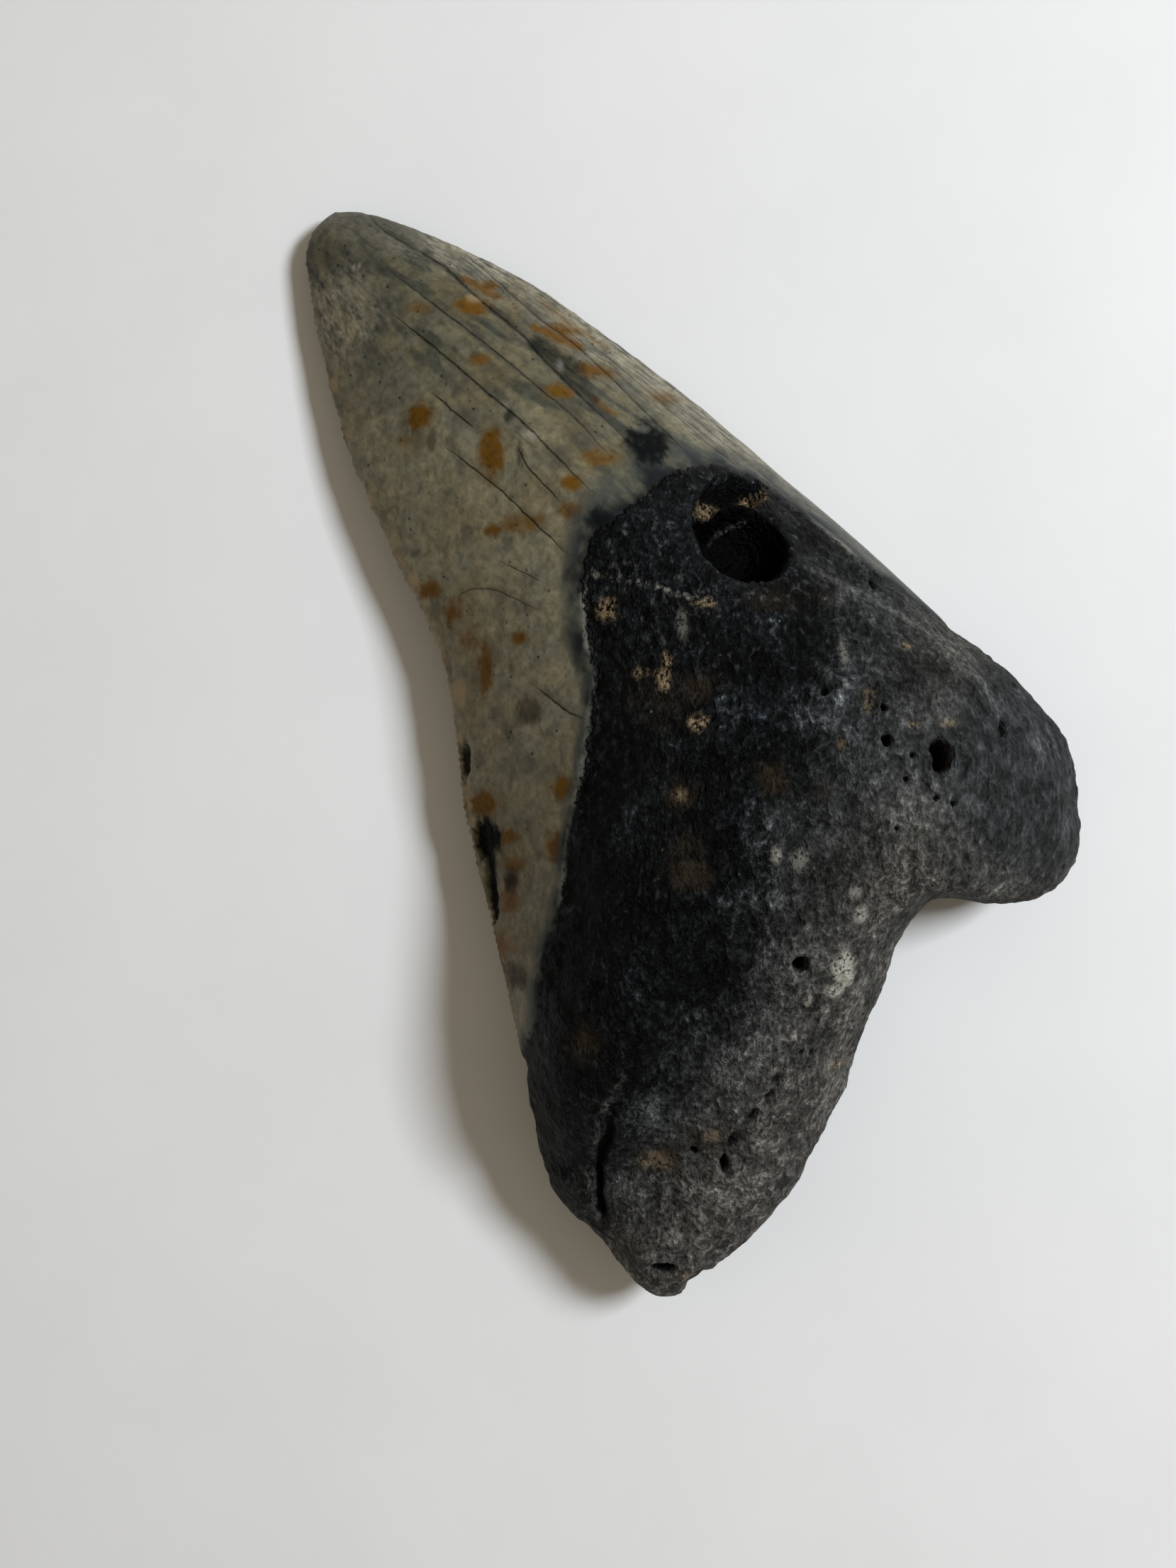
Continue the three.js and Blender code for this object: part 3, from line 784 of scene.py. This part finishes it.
def enamel_look(tree, place, settings):
    """Colour, roughness, gloss and height of the enamel."""
    lengthwise = grain(tree, scaled(tree, place, (0.45, 12.0, 0.45)), 1.0, 2.0)
    stripes = grain(tree, scaled(tree, place, (1.5, 16.0, 1.5)), 1.0, 1.0)
    clouds = grain(tree, place, 4.0, 2.0, 0.6)
    mottle = grain(tree, place, 0.8, 3.0, 0.65)
    flank = stored(tree, "flank")
    colour = mixed(tree, ramp(tree, clouds, 0.35, 0.65), settings.enamel, settings.enamel_cool)
    blue = product(tree, stored(tree, "ridge"), ramp(tree, stripes, 0.42, 0.62))
    colour = mixed(tree, blue, colour, settings.enamel_blue)
    worn = product(tree, flank, ramp(tree, lengthwise, 0.35, 0.6))
    colour = mixed(tree, worn, colour, settings.enamel_pale)
    colour = mixed(tree, product(tree, stored(tree, "haze"), 0.85), colour, settings.enamel_warm)
    # The darker tip, and painted shade over the lower crown
    colour = mixed(tree, product(tree, stored(tree, "dark_tip_and_shade"), 0.9), colour, settings.enamel_dark_and_shade)
    colour = mixed(tree, ramp(tree, mottle, 0.42, 0.75, 0.0, 0.5), colour, settings.enamel_dark_and_shade)
    # Painted shade: the band near the short edge, which faces the window, is darkened, less so on the flank
    ridge_shade = product(tree, stored(tree, "ridge"), ramp(tree, flank, 0.0, 1.0, 1.0, 0.3))
    colour = mixed(tree, ridge_shade, colour, settings.enamel_ridge_shade, "MULTIPLY")
    smoke = grain(tree, turned(tree, place, LENGTHWISE, (2.6, 4.0, 2.6)), 1.0, 3.0, 0.55, 0.4)
    colour = mixed(tree, ramp(tree, smoke, 0.48, 0.72, 0.0, 0.65), colour, settings.enamel_dark_and_shade)
    grit = grain(tree, place, 1.3, 5.0, 0.6)
    tone = maths(tree, "POWER", 2.0, maths(tree, "MULTIPLY_ADD", grit, 2.2, -1.1))
    colour = add(tree, "ShaderNodeVectorMath", {0: colour, "Scale": tone}, operation="SCALE").outputs[0]
    dots = product(tree, specks(tree, place, 1.1, 0.24, 0.42), ramp(tree, clouds, 0.35, 0.6, 0.1, 0.8))
    colour = mixed(tree, dots, colour, settings.enamel_shade)
    line, beside = crack_line(tree)
    sooty = product(tree, beside, ramp(tree, smoke, 0.35, 0.6, 0.1, 0.6))
    colour = mixed(tree, sooty, colour, settings.enamel_dark_and_shade)
    stain = ramp(tree, stored(tree, "rust"), 0.0, 0.85)
    colour = mixed(tree, product(tree, stain, 0.96), colour, settings.rust)
    burnt = product(tree, stain, ramp(tree, mottle, 0.45, 0.7, 0.0, 0.45))
    colour = mixed(tree, burnt, colour, settings.brown)
    reach = maths(tree, "DIVIDE", stored(tree, "crown"), stored(tree, "fade"))
    foot = product(tree, ramp(tree, reach, 2.2, 0.7), ramp(tree, smoke, 0.3, 0.6, 0.5, 1.0))
    colour = mixed(tree, foot, colour, settings.enamel_foot)
    streaky = maths(tree, "MULTIPLY_ADD", stripes, -1.4, maths(tree, "ADD", reach, 0.7))
    streaky = maths(tree, "MULTIPLY_ADD", smoke, -1.4, maths(tree, "ADD", streaky, 0.7))
    colour = mixed(tree, ramp(tree, streaky, 1.0, 0.0), colour, settings.enamel_shade)
    dark = ramp(tree, stored(tree, "dark"), 0.0, 1.0)
    dark = product(tree, dark, ramp(tree, mottle, 0.25, 0.45, 0.85, 1.0))
    colour = mixed(tree, stored(tree, "tan"), colour, settings.tan)
    colour = mixed(tree, dark, colour, settings.root_dark)
    # Pale streaks and the painted highlights of the glint spots take the chalk colour
    colour = mixed(tree, stored(tree, "pale"), colour, settings.chalk)
    opened = product(tree, line, ramp(tree, mottle, 0.3, 0.6, 0.95, 0.5))
    colour = mixed(tree, opened, colour, settings.root_dark)

    roughness = maths(tree, "MULTIPLY_ADD", dark, 0.4, ramp(tree, mottle, 0.2, 0.8, 0.4, 0.55))
    height = product(tree, mottle, 0.04)
    height = maths(tree, "MULTIPLY_ADD", product(tree, lengthwise, flank), 0.08, height)
    height = maths(tree, "MULTIPLY_ADD", line, -0.12, height)
    height = maths(tree, "MULTIPLY_ADD", dots, -0.04, height)
    dull = maths(tree, "MAXIMUM", dark, stain)
    return colour, roughness, product(tree, maths(tree, "SUBTRACT", 1.0, dull), 0.12), height


def root_look(tree, place, settings):
    """Colour, roughness, gloss and height of the root."""
    patches = grain(tree, place, 3.2, 2.0, 0.6)
    lumps = grain(tree, turned(tree, place, LENGTHWISE, (1.1, 1.8, 1.1)), 1.0, 3.0, 0.6, 0.5)
    crumbs = grain(tree, turned(tree, place, LENGTHWISE, (0.5, 0.62, 0.5)), 1.0, 4.0, 0.66)
    across = maths(tree, "MULTIPLY_ADD", patches, 1.5, stored(tree, "fibre_across"))
    fibre_place = add(tree, "ShaderNodeCombineXYZ", {0: stored(tree, "fibre_along"), 1: across}).outputs[0]
    fibres = grain(tree, scaled(tree, fibre_place, (2.0, 0.36, 1.0)), 1.0, 3.0, 0.6)
    lobe = stored(tree, "lobe")
    grey = stored(tree, "grey")
    smooth = stored(tree, "smooth")
    weave = add(tree, "ShaderNodeMix", {0: product(tree, lobe, 0.5), 2: crumbs, 3: fibres}).outputs[0]
    broad = grain(tree, place, 6.0, 2.0, 0.5)
    # The tone follows the same lumps and weave as the bump: crests painted lighter and hollows darker,
    # painted highlight and shade over the root's own mottling
    relief = add(tree, "ShaderNodeMix", {0: 0.45, 2: weave, 3: lumps}).outputs[0]
    relief = add(tree, "ShaderNodeMix", {0: 0.25, 2: relief, 3: broad}).outputs[0]
    contrast = maths(tree, "MULTIPLY_ADD", grey, -15.0, 33.0)
    depth = maths(tree, "MULTIPLY_ADD", grey, 7.9, maths(tree, "SUBTRACT", stored(tree, "tone"), 17.2))
    tone = maths(tree, "POWER", 2.0, maths(tree, "MULTIPLY_ADD", relief, contrast, depth))
    bare = mixed(tree, grey, settings.root_dark, settings.root_slate)
    # Lighter grey near the rim: partly wear, partly painted highlight
    bare = mixed(tree, product(tree, grey, stored(tree, "rim_wear_and_highlight")), bare, settings.root_wear_and_highlight)
    colour = add(tree, "ShaderNodeVectorMath", {0: bare, "Scale": tone}, operation="SCALE").outputs[0]
    brown = product(tree, stored(tree, "brown"), ramp(tree, weave, 0.3, 0.6, 0.4, 1.0))
    colour = mixed(tree, brown, colour, settings.brown)
    rough = maths(tree, "SUBTRACT", 1.0, smooth)
    # Painted highlights: pale specks and streaks stand in for glints of the window on the root
    glint_specks = product(tree, specks(tree, place, 0.9, 0.22, 0.14), rough, ramp(tree, patches, 0.42, 0.62))
    colour = mixed(tree, glint_specks, colour, settings.root_glint)
    glint_noise = grain(tree, turned(tree, place, LENGTHWISE, (0.8, 1.3, 0.8)), 1.0, 3.0, 0.5)
    painted_glints = product(tree, stored(tree, "glinting"), ramp(tree, glint_noise, 0.56, 0.8, 0.0, 0.7))
    colour = mixed(tree, painted_glints, colour, settings.root_glint)
    # Painted shade inside the boring, the pores, the dips and the grooves
    colour = mixed(tree, ramp(tree, stored(tree, "sunk"), 0.1, 0.9), colour, settings.hollow_shade)
    stain = product(tree, stored(tree, "rust"), ramp(tree, weave, 0.35, 0.55))
    colour = mixed(tree, product(tree, stain, 0.5), colour, settings.tan)
    crumbs_left = grain(tree, place, 0.45, 3.0, 0.6)
    flaky = ramp(tree, crumbs_left, 0.4, 0.58)
    solid = ramp(tree, crumbs_left, 0.34, 0.52)
    for name, over, left in (
        ("tan", settings.tan, flaky), ("pale", settings.chalk, flaky), ("chalk", settings.chalk, solid),
    ):
        colour = mixed(tree, product(tree, stored(tree, name), left), colour, over)
    roughness = ramp(tree, grey, 0.0, 1.0, 0.4, 0.6)
    height = maths(tree, "MULTIPLY_ADD", lumps, 1.0, product(tree, weave, 0.5))
    height = product(tree, height, ramp(tree, smooth, 0.0, 1.0, 1.0, 0.5))
    return colour, roughness, 0.0, height


def tooth_material(settings):
    """Enamel over the crown and bare root below it, in one material."""
    material = bpy.data.materials.new("fossil")
    material.use_nodes = True
    tree = material.node_tree
    shader = tree.nodes["Principled BSDF"]
    shader.inputs["IOR"].default_value = 1.5
    shader.inputs["Specular IOR Level"].default_value = 0.06
    shader.inputs["Coat Roughness"].default_value = 0.3
    local = add(tree, "ShaderNodeTexCoord", {}).outputs["Object"]
    place = add(tree, "ShaderNodeVectorMath", {0: local, "Scale": 1.0 / MM}, operation="SCALE").outputs[0]
    enamel = enamel_look(tree, place, settings)
    root = root_look(tree, place, settings)
    ragged = grain(tree, place, 0.9, 2.0, 0.6)
    edge = maths(tree, "MULTIPLY_ADD", ragged, 1.6, maths(tree, "SUBTRACT", stored(tree, "crown"), 0.8))
    crown = ramp(tree, edge, -0.2, 0.2)
    feed(tree, shader.inputs["Base Color"], mixed(tree, crown, root[0], enamel[0]))
    for name, of_root, of_enamel in (
        ("Roughness", root[1], enamel[1]), ("Coat Weight", root[2], enamel[2]),
    ):
        blend = add(tree, "ShaderNodeMix", {0: crown, 2: of_root, 3: of_enamel})
        feed(tree, shader.inputs[name], blend.outputs[0])
    height = add(tree, "ShaderNodeMix", {0: crown, 2: root[3], 3: enamel[3]})
    bump = add(tree, "ShaderNodeBump", {"Height": height.outputs[0], "Distance": MM, "Strength": 1.0})
    feed(tree, shader.inputs["Normal"], bump.outputs["Normal"])
    return material


class FOSSIL_OT_finish_tooth(bpy.types.Operator):
    """Skin the tooth, carve its relief and give it its finish"""

    bl_idname = "fossil.finish_tooth"
    bl_label = "Finish tooth"

    def execute(self, context):
        settings = context.scene.fossil_tooth
        tooth = cad_skin(settings)
        even_out(tooth)
        carve(tooth, settings)
        tooth.data.materials.clear()
        tooth.data.materials.append(tooth_material(settings))
        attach(tooth, "root")
        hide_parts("tooth")
        return {"FINISHED"}


def floor_material(stage):
    """Pale matt board with a faint unevenness."""
    material = bpy.data.materials.new("floor")
    material.use_nodes = True
    tree = material.node_tree
    shader = tree.nodes["Principled BSDF"]
    shader.inputs["Roughness"].default_value = 0.75
    place = add(tree, "ShaderNodeTexCoord", {}).outputs["Object"]
    darker = tuple(0.97 * part for part in stage.floor_tint)
    clouds = grain(tree, place, 0.03, 4.0, 0.6)
    board = mixed(tree, ramp(tree, clouds, 0.3, 0.7), darker, tuple(stage.floor_tint))
    feed(tree, shader.inputs["Base Color"], board)
    return material


def make_floor(stage):
    """A flat pale floor under the tooth."""
    shape = bmesh.new()
    bmesh.ops.create_grid(shape, x_segments=8, y_segments=8, size=stage.floor_side / 2.0)
    mesh = bpy.data.meshes.new("floor")
    shape.to_mesh(mesh)
    shape.free()
    floor = bpy.data.objects.new("floor", mesh)
    bpy.context.scene.collection.objects.link(floor)
    mesh.materials.append(floor_material(stage))


def make_light(stage):
    """A soft window from the short-lobe side, and an even warm fill."""
    light = bpy.data.lights.new("window", "AREA")
    light.shape = "SQUARE"
    light.size = stage.window_side
    light.energy = stage.window_power
    light.color = stage.window_tint
    window = bpy.data.objects.new("window", light)
    bpy.context.scene.collection.objects.link(window)
    place = Vector(WINDOW_WAY).normalized() * stage.window_reach
    place.z = stage.window_height
    window.location = place
    window.rotation_euler = place.to_track_quat("Z", "Y").to_euler()
    world = bpy.data.worlds.new("fill")
    world.use_nodes = True
    background = world.node_tree.nodes["Background"]
    background.inputs["Color"].default_value = (*stage.fill_tint, 1.0)
    background.inputs["Strength"].default_value = stage.fill_strength
    bpy.context.scene.world = world


def make_camera(stage):
    """The photograph's view: straight down, with the tooth turned 45 degrees in the frame."""
    lens = bpy.data.cameras.new("camera")
    lens.sensor_fit = "VERTICAL"
    lens.sensor_height = 36.0
    lens.lens = stage.camera_lens
    camera = bpy.data.objects.new("camera", lens)
    bpy.context.scene.collection.objects.link(camera)
    camera.location = (CAMERA_PLACE[0] * MM, CAMERA_PLACE[1] * MM, stage.camera_height)
    camera.rotation_euler = (0.0, 0.0, CAMERA_TURN)
    lens.clip_start = 0.01
    bpy.context.scene.camera = camera


class FOSSIL_OT_set_stage(bpy.types.Operator):
    """Lay the floor and set the light and the camera"""

    bl_idname = "fossil.set_stage"
    bl_label = "Set stage"

    def execute(self, context):
        stage = context.scene.fossil_stage
        make_floor(stage)
        make_light(stage)
        make_camera(stage)
        context.scene.view_settings.view_transform = "Standard"
        return {"FINISHED"}


class FOSSIL_PT_panel(bpy.types.Panel):
    """Lists the settings and the steps"""

    bl_idname = "FOSSIL_PT_panel"
    bl_label = "Fossil tooth"
    bl_space_type = "VIEW_3D"
    bl_region_type = "UI"
    bl_category = "Fossil"

    def draw(self, context):
        for settings, step in (
            (context.scene.fossil_tooth, FOSSIL_OT_finish_tooth.bl_idname),
            (context.scene.fossil_stage, FOSSIL_OT_set_stage.bl_idname),
        ):
            column = self.layout.column(align=True)
            for name in settings.bl_rna.properties.keys():
                if name not in ("name", "rna_type"):
                    column.prop(settings, name)
            column.operator(step)


CLASSES = (ToothSettings, StageSettings, FOSSIL_OT_finish_tooth, FOSSIL_OT_set_stage, FOSSIL_PT_panel)


def register():
    for each in CLASSES:
        bpy.utils.register_class(each)
    bpy.types.Scene.fossil_tooth = bpy.props.PointerProperty(type=ToothSettings)
    bpy.types.Scene.fossil_stage = bpy.props.PointerProperty(type=StageSettings)


def unregister():
    del bpy.types.Scene.fossil_stage
    del bpy.types.Scene.fossil_tooth
    for each in reversed(CLASSES):
        bpy.utils.unregister_class(each)


def main():
    """Makes the tooth and its stage."""
    register()
    bpy.ops.fossil.finish_tooth()
    bpy.ops.fossil.set_stage()


if __name__ == "__main__":
    main()
